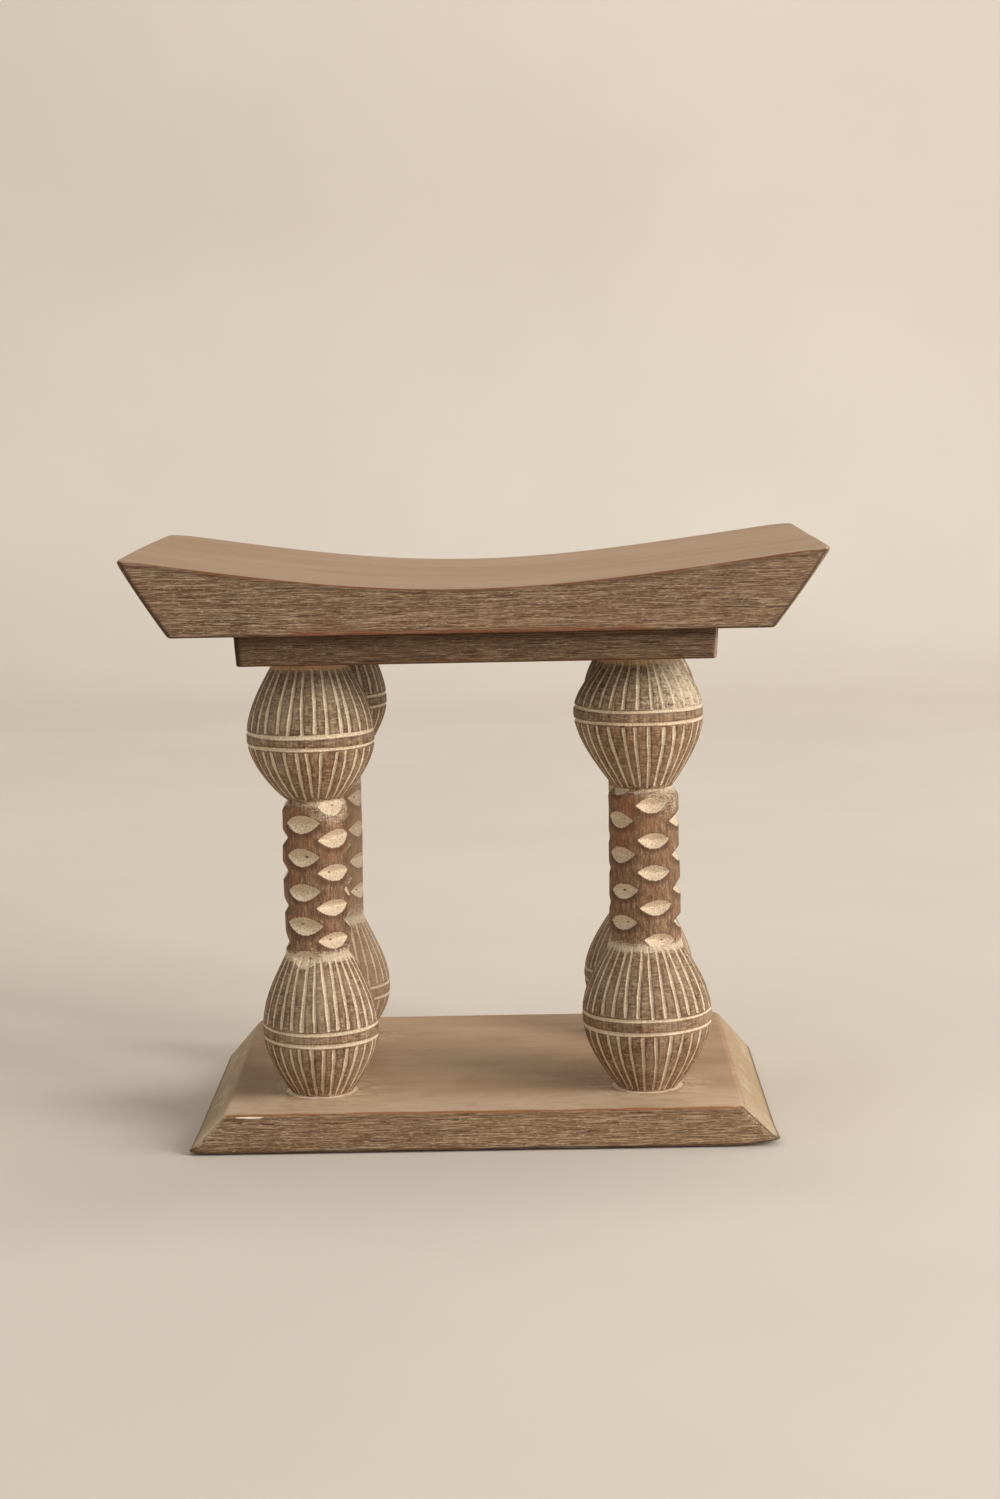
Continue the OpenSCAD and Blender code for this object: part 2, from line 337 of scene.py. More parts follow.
def pillar_material(name):
    """Wood with upright grain, whose cuts hold pale lime and whose ribs are rubbed with it."""
    s = Shader(name, roughness=0.68, specular=0.22)
    cloud = s.noise((60, 60, 38), detail=4, rough=0.62)
    grain = s.noise((900, 900, 120), detail=4, rough=0.7)
    turned = s.noise((280, 280, 1200), detail=4, rough=0.7, shift=3)
    speck = s.noise((1500, 1500, 1200), detail=3, rough=0.7, shift=5)
    patches = s.noise((75, 75, 45), detail=4, rough=0.65, shift=9)

    belly = belly_colour(s, grain, turned, cloud, patches)
    body = s.mix(s.attribute("shaft"), belly, shaft_colour(s, speck, patches))
    # Painted light: paler wood below the neck, on the back pillars
    body = s.mix(s.attribute("haze"), body, colour(186, 157, 126))
    # Painted light: a bright tan ring round the top, just under the board, brighter than its shade
    # allows
    painted_light_crown = s.times(s.attribute("painted_light_crown"), s.step(patches, 0.25, 0.55), 0.95)
    body = s.mix(painted_light_crown, body, colour(238, 192, 140))
    fibres = s.math("MULTIPLY_ADD", grain, 0.3, s.math("MULTIPLY", speck, 0.3))
    fibres = s.math("MULTIPLY_ADD", turned, 0.4, fibres)
    # Dust and lime, with painted light on the lit side
    smear = s.ragged(s.attribute("wash_and_light"), fibres, 3.4, 0.4, 1.05)
    body = s.mix(s.times(smear, 0.8), body, colour(206, 188, 163))

    lime = s.ragged(s.attribute("lime"), speck, 0.6, 0.3, 0.66)
    face = s.mix(lime, body, lime_colour(s, speck, cloud))
    pit = s.ragged(s.attribute("pit"), speck, 0.7, 0.3, 0.7)
    face = s.mix(pit, face, colour(104, 78, 56))
    height = s.math("MULTIPLY_ADD", grain, 0.6, s.math("MULTIPLY", speck, 0.6))
    return s.finish(face, height, height_mm=0.35)


def dowel_material():
    s = Shader("dowel_wood", roughness=0.7, specular=0.2)
    grain = s.noise((900, 900, 60), detail=4)
    face = s.mix(s.step(grain, 0.3, 0.7), colour(176, 142, 98), colour(206, 174, 128))
    return s.finish(face, grain, height_mm=0.1)


def steel_material():
    s = Shader("screw_steel", roughness=0.35, specular=0.5)
    s.surface.inputs["Metallic"].default_value = 1.0
    scratches = s.noise((700, 3000, 700), detail=3)
    face = s.mix(scratches, colour(150, 148, 142), colour(196, 194, 188))
    return s.finish(face, scratches, height_mm=0.02)


def floor_material():
    """Pale and plain, but darker beside the lamps, so that it glares less in views from behind."""
    s = Shader("floor", roughness=0.9, specular=0.1)
    cloud = s.noise((3, 3, 3), detail=3)
    face = s.mix(s.step(cloud, 0.3, 0.7), colour(208, 200, 190), colour(212, 204, 194))
    face = s.mix(s.step(distance_from(s, *LAMP_FOOT), 1.8, 0.7), face, colour(126, 121, 115))
    return s.finish(face)


# ---------------------------------------------------------------- mesh helpers

def make_object(name, points, faces, attributes, material):
    mesh = bpy.data.meshes.new(name)
    mesh.from_pydata(points.tolist(), [], faces)
    for key, values in attributes.items():
        layer = mesh.attributes.new(key, "FLOAT", "POINT")
        layer.data.foreach_set("value", np.asarray(values, dtype=np.float32))
    mesh.polygons.foreach_set("use_smooth", [True] * len(mesh.polygons))
    mesh.materials.append(material)
    piece = bpy.data.objects.new(name, mesh)
    bpy.context.scene.collection.objects.link(piece)
    return piece


def hump(distance, width):
    """1 where distance is 0, and next to nothing beyond twice the width."""
    return np.exp(-(distance / width) ** 2)


def smooth_step(value, low, high):
    t = np.clip((value - low) / (high - low), 0, 1)
    return t * t * (3 - 2 * t)


def grid_lines(half, coarse, fine=()):
    """Places from -half to half in metres: close together at both ends and in the fine stretches."""
    near = np.array([0, 0.25, 0.55, 0.9, 1.4, 2.1, 3.2, 4.8, 7.0]) * MM
    near = near[near < half * 0.8]
    inner = half - near[-1]
    count = max(2, int(round(2 * inner / coarse)))
    lines = [near - half, np.linspace(-inner, inner, count + 1)[1:-1], half - near]
    lines += [np.arange(start, stop, step) for start, stop, step in fine]
    lines = np.sort(np.concatenate(lines))
    return lines[np.concatenate([[True], np.diff(lines) > 0.12 * MM])]


def box_grid(xs, ys, zs):
    """A closed box surface on a grid: unique points, and quads that face outwards."""
    nx, ny, nz = len(xs), len(ys), len(zs)
    index = {}

    def at(*key):
        return index.setdefault(key, len(index))

    faces = []
    for i in range(nx - 1):
        for j in range(ny - 1):
            faces.append((at(i, j, 0), at(i, j + 1, 0), at(i + 1, j + 1, 0), at(i + 1, j, 0)))
            t = nz - 1
            faces.append((at(i, j, t), at(i + 1, j, t), at(i + 1, j + 1, t), at(i, j + 1, t)))
        for k in range(nz - 1):
            faces.append((at(i, 0, k), at(i + 1, 0, k), at(i + 1, 0, k + 1), at(i, 0, k + 1)))
            b = ny - 1
            faces.append((at(i, b, k), at(i, b, k + 1), at(i + 1, b, k + 1), at(i + 1, b, k)))
    for j in range(ny - 1):
        for k in range(nz - 1):
            faces.append((at(0, j, k), at(0, j, k + 1), at(0, j + 1, k + 1), at(0, j + 1, k)))
            r = nx - 1
            faces.append((at(r, j, k), at(r, j + 1, k), at(r, j + 1, k + 1), at(r, j, k + 1)))
    keys = np.array(list(index))
    return np.stack([xs[keys[:, 0]], ys[keys[:, 1]], zs[keys[:, 2]]], axis=1), faces


def wobble(points, scale, seed):
    """Smooth noise from -1 to 1 at each point."""
    shift = Vector((seed * 3.1, seed * 1.7, seed * 2.3))
    return np.array([noise.noise(Vector(p) * scale + shift) for p in points])


def round_edges(points, half, radius):
    """Rounds a centred box's edges: each point goes onto a ball rolled along the inside."""
    inner = np.clip(points, -(half - radius[:, None]), half - radius[:, None])
    out = points - inner
    length = np.linalg.norm(out, axis=1, keepdims=True)
    return inner + out / np.maximum(length, 1e-9) * radius[:, None]


def round_plan_corners(points, half_x, half_y, radius_at):
    """Rounds the four corners seen from above, each to its own radius."""
    done = points.copy()
    for (sx, sy), radius in radius_at.items():
        qx = points[:, 0] * sx - (half_x - radius)
        qy = points[:, 1] * sy - (half_y - radius)
        held = (qx > 0) & (qy > 0)
        flat = np.hypot(qx[held], qy[held])
        ratio = np.maximum(qx[held], qy[held]) / np.maximum(flat, 1e-9)
        done[held, 0] = sx * (half_x - radius + qx[held] * ratio)
        done[held, 1] = sy * (half_y - radius + qy[held] * ratio)
    return done


HOLE_SIDES = 32
SHARP_ANGLE = math.radians(40)


def drill(piece, holes):
    """Cuts upright round holes, each given as x, y and its (radius, height) rings."""
    sides = HOLE_SIDES
    around = np.arange(sides) * 2 * np.pi / sides
    points, faces = [], []
    for x, y, rings in holes:
        first = len(points)
        for radius, z in rings:
            points += [(x + radius * math.cos(a), y + radius * math.sin(a), z) for a in around]
        for level in range(len(rings) - 1):
            a = first + sides * level
            faces += [(a + k, a + (k + 1) % sides, a + sides + (k + 1) % sides, a + sides + k)
                      for k in range(sides)]
        last = first + sides * (len(rings) - 1)
        faces.append(tuple(range(first, first + sides))[::-1])
        faces.append(tuple(range(last, last + sides)))
    cutter = make_object("cutter", np.array(points), faces, {}, piece.data.materials[0])
    cut = piece.modifiers.new("holes", "BOOLEAN")
    cut.operation = "DIFFERENCE"
    cut.solver = "EXACT"
    cut.object = cutter
    graph = bpy.context.evaluated_depsgraph_get()
    mesh = bpy.data.meshes.new_from_object(piece.evaluated_get(graph))
    piece.modifiers.clear()
    piece.data = mesh
    mesh.set_sharp_from_angle(angle=SHARP_ANGLE)
    bpy.data.objects.remove(cutter)


GRID_SPACING = 3.5 * MM
ON_FACE = 0.01 * MM


def board_fields(points, half, red_foot, end_rim, dusty, smooth_ends):
    """Where a centred box is worn, dark, rubbed and dusty, as one value from 0 to 1 per point.

    worn lies along the long arrises, rim darkens the front and back near their ends and is
    painted shade along their arrises, smooth on the rubbed faces, end on those of them that are ends,
    and dust along a dusty corner.
    """
    gap = half - np.abs(points)
    on_end, on_side, on_level = (gap[:, axis] < ON_FACE for axis in range(3))
    upper = points[:, 2] > 0
    left = points[:, 0] < 0

    # The upper arrises are worn red all along, the lower ones only as far as red_foot says
    reach, height = red_foot
    red = 1 - smooth_step(np.abs(points[:, 0]), 0.8 * reach, 1.2 * reach + 0.1 * MM)
    worn = hump(np.maximum(gap[:, 1], gap[:, 2]), 1.35 * MM)
    foot = 0.85 * hump(np.maximum(gap[:, 2] / height, gap[:, 1] / (1.2 * MM)), 1)
    worn = np.where(upper, (1 if smooth_ends else 0.85 + 0.15 * red) * worn, red * foot)

    rim = hump(gap[:, 0], 2.2 * MM) + 0.4 * np.exp(-gap[:, 0] / (5 * MM))
    rim *= np.where(left, *end_rim)
    # Painted shade: a dark band just under the upper arris, and along the lower arris where it is not
    # worn red
    rim = np.maximum(rim, 0.5 * hump(gap[:, 2] - 2.4 * MM, 1.1 * MM) * upper)
    rim = np.maximum(rim, 0.9 * hump(gap[:, 2], 1.2 * MM) * ~upper * (1 - red))
    if not smooth_ends:
        # Painted shade: a second dark band just under the upper arris
        rim = np.maximum(rim, hump(gap[:, 2] - 1.7 * MM, 0.8 * MM) * upper * (0.65 - 0.3 * red))
    rim = np.where(on_side, np.clip(rim, 0, 1), 0)

    dust = hump(np.maximum(gap[:, 0], gap[:, 1]), dusty[1])
    dust *= np.sign(points[:, 0]) == dusty[0]
    end = np.zeros(len(points))
    smooth = np.where(on_level & upper, 1.0, 0.0)
    if smooth_ends:
        end = np.where(on_end & ~on_side, 1.0, 0.0)
        smooth = np.maximum(smooth, end)
        crest = hump(np.maximum(gap[:, 0], gap[:, 2]), 1.6 * MM)
        worn = np.maximum(worn, np.where(left, 0.35, 0.6) * crest * upper)
        # Painted shade along the foot of each end, where it meets the floor
        tip = hump(np.maximum(gap[:, 0], gap[:, 2]), 2.4 * MM) * ~upper
        rim = np.maximum(rim, tip)
        dust *= 1 - tip
    return {"worn": worn, "rim": rim, "smooth": smooth, "end": end, "dust": dust}


def board(name, low, high, material, *, radius, corners, shape, seed, red_foot, end_rim,
          dusty=(0, MM), tip_radius=0.0, smooth_ends=False, fine_x=()):
    """A board that fills low to high before shape() bends it: rounded, slightly uneven, closed.

    red_foot is how far from the middle the lower arrises are worn red, and how high. end_rim is
    how dark the front and back are along the left and the right end. dusty is the end whose
    upright arrises are dusty, -1 for left and 1 for right, and how widely they are. shape() gives
    the bent points and a value per point for splinters, which becomes the attribute chip.
    """
    half = (high - low) / 2
    middle = (high + low) / 2
    xs = grid_lines(half[0], GRID_SPACING, fine_x)
    ys = grid_lines(half[1], GRID_SPACING)
    points, faces = box_grid(xs, ys, grid_lines(half[2], GRID_SPACING))
    fields = board_fields(points, half, red_foot, end_rim, dusty, smooth_ends)

    near_tip = smooth_step(np.abs(points[:, 0]), half[0] - 12 * MM, half[0] - 5 * MM)
    near_tip *= smooth_step(points[:, 2], half[2] - 9 * MM, half[2] - 4 * MM)
    soft = radius * (1 + 0.3 * wobble(points, 70, seed)) + tip_radius * near_tip
    rounded = round_edges(points, half, soft)
    rounded = round_plan_corners(rounded, half[0], half[1], corners)
    dent = np.abs(wobble(points, 24, seed + 5)) * 0.35 * MM
    dent += np.abs(wobble(points, 110, seed + 9)) * 0.1 * MM
    on_side = half[1] - np.abs(points[:, 1]) < ON_FACE
    rounded[:, 1] -= np.sign(points[:, 1]) * dent * on_side
    placed, chip = shape(rounded + middle, points + middle)
    return make_object(name, placed, faces, {**fields, "chip": chip}, material)


# ---------------------------------------------------------------- boards

SADDLE_DIP = 15 * MM
SADDLE_LIP = 0.3
HEAD_LEAN_LEFT = 21.4 * MM
HEAD_LEAN_RIGHT = 25.0 * MM
BASE_LEAN = 15.8 * MM
UNDER_FLARE = 0.009
DOWEL_HOLE_R = 5.1 * MM
HEAD_BORE = 10 * MM
BASE_BORE = 9 * MM
THROUGH = 1 * MM
# The space round a screw: radius, and height above the screw head's flat face, in millimetres
SCREW_SPACE = ((4.1, -1), (4.1, 0), (2.1, 2.5), (2.1, 20.1), (0.05, 25.1))


def saddle(u):
    """Height above the head board's lowest line, at u from -1 to 1 along it."""
    return SADDLE_DIP * ((1 - SADDLE_LIP) * u * u + SADDLE_LIP * (1 - np.cos(np.pi * u)) / 2)


def axis_of(node):
    low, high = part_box(node)
    return (low[0] + high[0]) / 2, (low[1] + high[1]) / 2


def pillar_axis(place):
    return axis_of("pillar_" + place)


def screw_holes():
    holes = []
    for place in PLACES:
        head_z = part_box("screw_" + place)[0][2]
        rings = [(radius * MM, head_z + z * MM) for radius, z in SCREW_SPACE]
        holes.append((*axis_of("screw_" + place), rings))
    return holes


def dowel_holes(bottom, top):
    rings = [(DOWEL_HOLE_R, bottom), (DOWEL_HOLE_R, top)]
    return [(*pillar_axis(place), rings) for place in PLACES]


def add_head_board(material):
    low, high = (np.array(v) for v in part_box("head_board"))
    half_length, half_depth = high[0], high[1]
    thickness = high[2] - low[2]

    def shape(p, flat):
        up = (p[:, 2] - low[2]) / thickness
        lean = np.where(p[:, 0] < 0, HEAD_LEAN_LEFT, HEAD_LEAN_RIGHT)
        x = p[:, 0] * (1 - (1 - up) * lean / half_length)
        u = np.clip(x / half_length, -1, 1)
        # The lowest line lies a little left of the middle
        lowest = u + 0.04 * (1 - u * u)
        z = low[2] + up * (thickness - SADDLE_DIP + saddle(lowest))
        # The left end bulges a little half way back
        x -= 1.2 * MM * np.clip(-u, 0, 1) ** 4 * np.sin(np.pi * (0.5 + 0.5 * p[:, 1] / half_depth))
        # A small bite out of the front right tip
        bite = np.exp(-((p[:, 0] - half_length) ** 2 + (p[:, 1] + half_depth) ** 2) / (5 * MM) ** 2)
        x -= 1.3 * MM * bite * up
        return np.stack([x, p[:, 1], z], axis=1), np.zeros(len(p))

    corners = {(-1, -1): 2.5 * MM, (1, -1): 3 * MM, (-1, 1): 12 * MM, (1, 1): 12 * MM}
    piece = board("head_board_wood", low, high, material, radius=1.0 * MM,
                  corners=corners, shape=shape, seed=1, red_foot=(90 * MM, 4.2 * MM),
                  end_rim=(1, 1), tip_radius=1.8 * MM)
    drill(piece, dowel_holes(low[2] - THROUGH, low[2] + HEAD_BORE) + screw_holes())
    return piece


def add_under_board(material):
    low, high = (np.array(v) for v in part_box("under_board"))
    corners = {(a, b): 2 * MM for a in (-1, 1) for b in (-1, 1)}

    def shape(p, flat):
        up = (p[:, 2] - low[2]) / (high[2] - low[2])
        placed = p.copy()
        placed[:, 0] *= 1 + UNDER_FLARE * up
        return placed, np.zeros(len(p))

    piece = board("under_board_wood", low, high, material, radius=1.0 * MM,
                  corners=corners, shape=shape, seed=2, red_foot=(high[0], 1.2 * MM),
                  end_rim=(1, 0.2), dusty=(1, 1.4 * MM))
    drill(piece, dowel_holes(low[2] - THROUGH, high[2] + THROUGH) + screw_holes())
    return piece


def add_base_board(material):
    low, high = (np.array(v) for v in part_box("base_board"))
    half_length, half_depth = high[0], high[1]
    thickness = high[2] - low[2]

    def shape(p, flat):
        up = (p[:, 2] - low[2]) / thickness
        x = p[:, 0] * (1 - up * BASE_LEAN / half_length) - 0.6 * MM
        back = np.clip((p[:, 1] + half_depth) / (2 * half_depth), 0, 1)
        y = p[:, 1] - 0.5 * MM - 1.0 * MM * back
        # The underside is worn up at the two front corners
        front = 1 - smooth_step(p[:, 1], -half_depth, -half_depth + 40 * MM)
        right = np.clip((p[:, 0] - half_length + 24 * MM) / (24 * MM), 0, 1) ** 2
        left = np.clip((-p[:, 0] - half_length + 12 * MM) / (12 * MM), 0, 1) ** 2
        lip = 1 - smooth_step(p[:, 1], -half_depth, -half_depth + 8 * MM)
        z = p[:, 2] + (1 - up) * (front * (2.3 * right + 1.0 * left) + 1.1 * lip) * MM
        # A splinter gone from the front face, just under the left end of its top arris
        along = np.clip((flat[:, 0] + half_length - 7 * MM) / (16 * MM), 0, 1)
        below = (high[2] - flat[:, 2]) / MM - 1.4 - 0.3 * along
        split = np.clip(1.3 * np.sin(np.pi * along) ** 0.4 - np.abs(below) / 0.6, 0, 1)
        split *= flat[:, 1] < -half_depth + 0.01 * MM
        y += 0.3 * MM * split
        return np.stack([x, y, z], axis=1), split

    corners = {(-1, -1): 3 * MM, (1, -1): 5 * MM, (-1, 1): 4 * MM, (1, 1): 4 * MM}
    fine = ((-half_length + 6 * MM, -half_length + 24 * MM, 0.7 * MM),)
    piece = board("base_board_wood", low, high, material, radius=0.9 * MM,
                  corners=corners, shape=shape, seed=3, red_foot=(0.0, 1.0 * MM),
                  end_rim=(0.25, 0.5), dusty=(-1, 3.2 * MM), tip_radius=0.8 * MM, smooth_ends=True,
                  fine_x=fine)
    drill(piece, dowel_holes(high[2] - BASE_BORE, high[2] + THROUGH))
    return piece


# ---------------------------------------------------------------- pillars

# Each pillar's own measures: heights above its foot and radii, in millimetres.
# low, high: the two bands, where the bellies are widest. shoulder, neck: the shaft's ends.
# eye_top: height of the first column's top cut. eye_wide, eye_high: half a cut's length and height.
# turn: degrees from straight front to the first column of cuts, toward the right.
# twist: radians that the columns turn over TWIST_SPAN of height, about the height TWIST_FROM.
# skew: each column's degrees from even spacing; above 0, its cuts are also longer.
# sway: how far the lower belly, the shaft and the upper belly stand right of the axis.
# slim: exponent of each half belly's curve, from foot to top; a larger one is slimmer.
# haze: painted light that makes the wood paler below the neck.
# dusty: dust, and painted light on the lit front right, above the upper band and from the lower band
# to the neck.
EVEN = (0, 0, 0, 0, 0, 0)
PILLARS = {
    "front_left": dict(
        low=28.1, low_r=25.6, high=157.8, high_r=27.9, top_r=14.6, neck=130.6, neck_r=12.4,
        shaft_r=14.2, shoulder=62.5, eye_top=121.6, eye_wide=8.8, eye_high=3.9,
        turn=-20, twist=0.0, skew=(0, 0, 0, 0, 0, -10), sway=(0.2, 0.1, -0.6),
        slim=(1.0, 1.0, 0.85, 1.0), haze=0.0, dusty=(0.25, 0.1), seed=11),
    "front_right": dict(
        low=32.0, low_r=28.6, high=166.2, high_r=27.9, top_r=14.6, neck=133.0, neck_r=12.6,
        shaft_r=15.4, shoulder=64.5, eye_top=127.0, eye_wide=7.7, eye_high=3.4,
        turn=19, twist=0.16, skew=(0, 9, 0, 0, 0, 0), sway=(0.2, -0.1, -1.9),
        slim=(1.0, 1.05, 1.0, 1.25), haze=0.0, dusty=(0.85, 0.0), seed=22),
    "back_left": dict(
        low=24.2, low_r=24.6, high=162.0, high_r=26.6, top_r=16.4, neck=131.0, neck_r=12.0,
        shaft_r=13.6, shoulder=58.5, eye_top=123.4, eye_wide=7.8, eye_high=3.8,
        turn=10, twist=0.0, skew=EVEN, sway=(0.0, -0.3, 0.0),
        slim=(1.0, 1.1, 1.1, 1.0), haze=0.36, dusty=(0.0, 0.2), seed=33),
    "back_right": dict(
        low=29.2, low_r=25.6, high=163.2, high_r=26.2, top_r=13.8, neck=131.6, neck_r=12.4,
        shaft_r=14.5, shoulder=58.5, eye_top=122.6, eye_wide=7.8, eye_high=3.8,
        turn=-5, twist=0.05, skew=EVEN, sway=(0.0, 1.7, 2.2),
        slim=(1.0, 1.0, 1.0, 1.2), haze=0.2, dusty=(0.5, 0.2), seed=44),
}
PILLAR_HEIGHT = 192.0
FOOT_R = 13.3
NECK_FLARE = 4.0
RIBS = 30
# From the middle of a belly's band to each of its two grooves, and from there to the ribs
BAND_HALF = 5.6 / 2
RIB_GAP = 0.8
BORE_R = 5.1
FOOT_BORE = 16.0
TOP_BORE = 20.0
EYE_COLUMNS = 6
EYE_ROWS = 5
EYE_PITCH = 14.9
EYE_DEPTH = 3.6
# A cut changes nothing further than this from its middle, in millimetres up and radians round
EYE_REACH = 7
EYE_REACH_ROUND = 0.8
# How much longer cuts are in a column with skew above 0, and how shallow and short at the ends
SKEWED_WIDER = 1.22
END_DEEP = 0.7
END_WIDE = 0.85
TWIST_SPAN = 45
TWIST_FROM = 80
# Columns over one rib: shares of the groove's half width, then plain columns between grooves
GROOVE_COLUMNS = (0.0, 0.5, 1.0, 1.4)
PLAIN_COLUMNS = 3
# What each of those columns has of the groove's depth, and of the painted shade along its edge
GROOVE_SHARE = (1.0, 0.5, 0.0, 0.0)
EDGE_SHARE = (0.0, 0.0, 0.5, 1.0)


def swell(belly, end, t, slim):
    return end + (belly - end) * np.cos(np.pi / 2 * np.clip(t, 0, 1)) ** slim


def body_radius(z, p):
    """Radius of the turned form at height z."""
    flare = np.clip((z - (p["neck"] - NECK_FLARE)) / NECK_FLARE, 0, 1)
    neck = p["neck_r"] + (p["shaft_r"] - p["neck_r"]) * np.cos(np.pi / 2 * flare)
    slim = p["slim"]
    return np.select(
        [z <= p["low"], z <= p["shoulder"], z <= p["neck"], z <= p["high"]],
        [swell(p["low_r"], FOOT_R, (p["low"] - z) / p["low"], slim[0]),
         swell(p["low_r"], p["shaft_r"], (z - p["low"]) / (p["shoulder"] - p["low"]), slim[1]),
         neck,
         swell(p["high_r"], p["neck_r"], (p["high"] - z) / (p["high"] - p["neck"]), slim[2])],
        swell(p["high_r"], p["top_r"], (z - p["high"]) / (PILLAR_HEIGHT - p["high"]), slim[3]))


class Ribs:
    """The grooves cut along one half of a belly, from its narrow end to its band."""

    def __init__(self, narrow, wide, rng):
        self.narrow, self.wide = narrow, wide
        pitch = 2 * np.pi / RIBS
        uneven = rng.uniform(-0.12, 0.12, RIBS)
        self.angle = pitch * (np.arange(RIBS) + uneven + rng.uniform(-0.4, 0.4))
        self.lean = rng.normal(0, 0.03, RIBS)
        self.wave = rng.uniform(0, 2 * np.pi, (3, RIBS))
        self.width = rng.uniform(0.8, 1.08, RIBS)
        self.depth = rng.uniform(0.7, 0.95, RIBS)
        self.start = rng.uniform(0.0, 1.6, RIBS)
        self.stop = rng.uniform(0.0, 0.9, RIBS)

    def share(self, z):
        return (z - self.narrow) / (self.wide - self.narrow)

    def centres(self, z):
        t = self.share(z)
        return self.angle + self.lean * (t - 0.5) + 0.005 * np.sin(7 * t + self.wave[0])

    def half_width(self, z):
        t = np.clip(self.share(z), 0, 1)
        return self.width * (0.66 + 0.34 * t ** 0.6) * (1 + 0.13 * np.sin(16 * t + self.wave[1]))

    def cut(self, z):
        """Depth of each groove at height z."""
        t = self.share(z)
        if not 0 <= t <= 1:
            return np.zeros(RIBS)
        start = np.clip((abs(z - self.narrow) - self.start + 1.2) / 2.5, 0, 1)
        stop = np.clip((abs(self.wide - z) - self.stop + 0.5) / 1.0, 0, 1)
        ripple = 1 + 0.12 * np.sin(23 * t + self.wave[2])
        return self.depth * (0.6 + 0.4 * t) * start * stop * ripple

    def columns(self, z, radius):
        """Angles of all columns at height z."""
        centre = self.centres(z)
        half = self.half_width(z) / radius
        following = np.roll(centre, -1)
        following[-1] += 2 * np.pi
        next_half = np.roll(half, -1)
        parts = [centre + half * s for s in GROOVE_COLUMNS]
        last = parts[-1]
        before = following - next_half * GROOVE_COLUMNS[-1]
        parts += [last + (before - last) * (k + 1) / (PLAIN_COLUMNS + 1)
                  for k in range(PLAIN_COLUMNS)]
        parts += [following - next_half * s for s in GROOVE_COLUMNS[:0:-1]]
        return np.stack(parts, axis=1).ravel()

    def spread(self, z, share):
        """Each groove's depth at height z, times its share, at every column."""
        own = self.cut(z)
        following = np.roll(own, -1)
        parts = [own * s for s in share]
        parts += [np.zeros(RIBS)] * PLAIN_COLUMNS
        parts += [following * s for s in share[:0:-1]]
        return np.stack(parts, axis=1).ravel()


def pillar_rows(p):
    """Heights of the mesh rows: close together on the bands and on the carved shaft."""
    def span(a, b, step):
        return np.linspace(a, b, max(2, int(round((b - a) / step)) + 1))[:-1]

    band = BAND_HALF + 2.0
    return np.concatenate([
        span(0, p["low"] - band, 1.25),
        span(p["low"] - band, p["low"] + band, 0.32),
        span(p["low"] + band, p["shoulder"] - 4, 1.25),
        span(p["shoulder"] - 4, p["neck"] + 0.8, 0.5),
        span(p["neck"] + 0.8, p["high"] - band, 1.2),
        span(p["high"] - band, p["high"] + band, 0.32),
        span(p["high"] + band, PILLAR_HEIGHT - 1, 1.2),
        [PILLAR_HEIGHT - 1, PILLAR_HEIGHT]])


def wrapped(angle):
    return (angle + np.pi) % (2 * np.pi) - np.pi


def carve_eyes(z, theta, radius, p, rng):
    """Depth of the eye-shaped cuts, darker marks along their creases, and the painted shade round
    them.
    """
    depth = np.zeros_like(theta)
    pit = np.zeros_like(theta)
    shade = np.zeros_like(theta)
    for column in range(EYE_COLUMNS):
        odd = column % 2
        for row in range(-odd, EYE_ROWS - odd):
            middle = p["eye_top"] - (row + odd / 2) * EYE_PITCH + rng.normal(0, 0.4)
            skew = p["skew"][column]
            angle = math.radians(p["turn"] - 90 + 60 * column + skew) + rng.normal(0, 0.03)
            angle -= p["twist"] * (middle - TWIST_FROM) / TWIST_SPAN
            wide = p["eye_wide"] * rng.uniform(0.93, 1.04) * (SKEWED_WIDER if skew > 0 else 1)
            tilt = rng.normal(0, 0.05)
            upper = p["eye_high"] * rng.uniform(0.9, 1.06)
            lower = p["eye_high"] * rng.uniform(0.92, 1.1)
            deep = EYE_DEPTH * rng.uniform(0.88, 1.05)
            pit_at = rng.uniform(-0.4, 0.4)
            pit_size = rng.uniform(0.1, 0.55)
            if middle > p["neck"] - 5 or middle < p["shoulder"] + 2:
                deep *= END_DEEP
                wide *= END_WIDE
            near_round = np.abs(wrapped(theta - angle)) < EYE_REACH_ROUND
            near = (np.abs(z - middle) < EYE_REACH) & near_round
            across = wrapped(theta[near] - angle) * radius[near] / wide
            lens = np.clip(1 - across ** 2, 1e-6, 1)
            off = z[near] - (middle - 0.35 * lens + tilt * across * wide)
            share = np.abs(off) / (np.where(off > 0, upper, lower) * lens)
            cut = deep * lens ** 0.8 * np.clip(1 - share ** 1.3, 0, 1) * (np.abs(across) < 1)
            cut *= 1 - smooth_step(z[near], p["neck"] - 0.5, p["neck"] + 1.0)
            depth[near] = np.maximum(depth[near], cut)
            # The crease is darker in a spot and a line along it, and painted shade darkens the wood
            # round the cut's lower rim
            spot = ((across - pit_at) * wide / 2.6) ** 2 + off ** 2
            if pit_size > 0.3:
                pit[near] = np.maximum(pit[near], np.exp(-spot / pit_size ** 2))
            crease = 0.55 * hump(off, 0.4) * smooth_step(-np.abs(across - pit_at), -0.35, -0.1)
            pit[near] = np.maximum(pit[near], crease)
            round_it = across ** 2 + ((off + 0.6) / (1.15 * upper)) ** 2
            painted_eye_shade = np.clip(1.9 - round_it, 0, 1) * smooth_step(-off, -3.0, 2.0)
            shade[near] = np.maximum(shade[near], painted_eye_shade)
    return depth, pit, shade


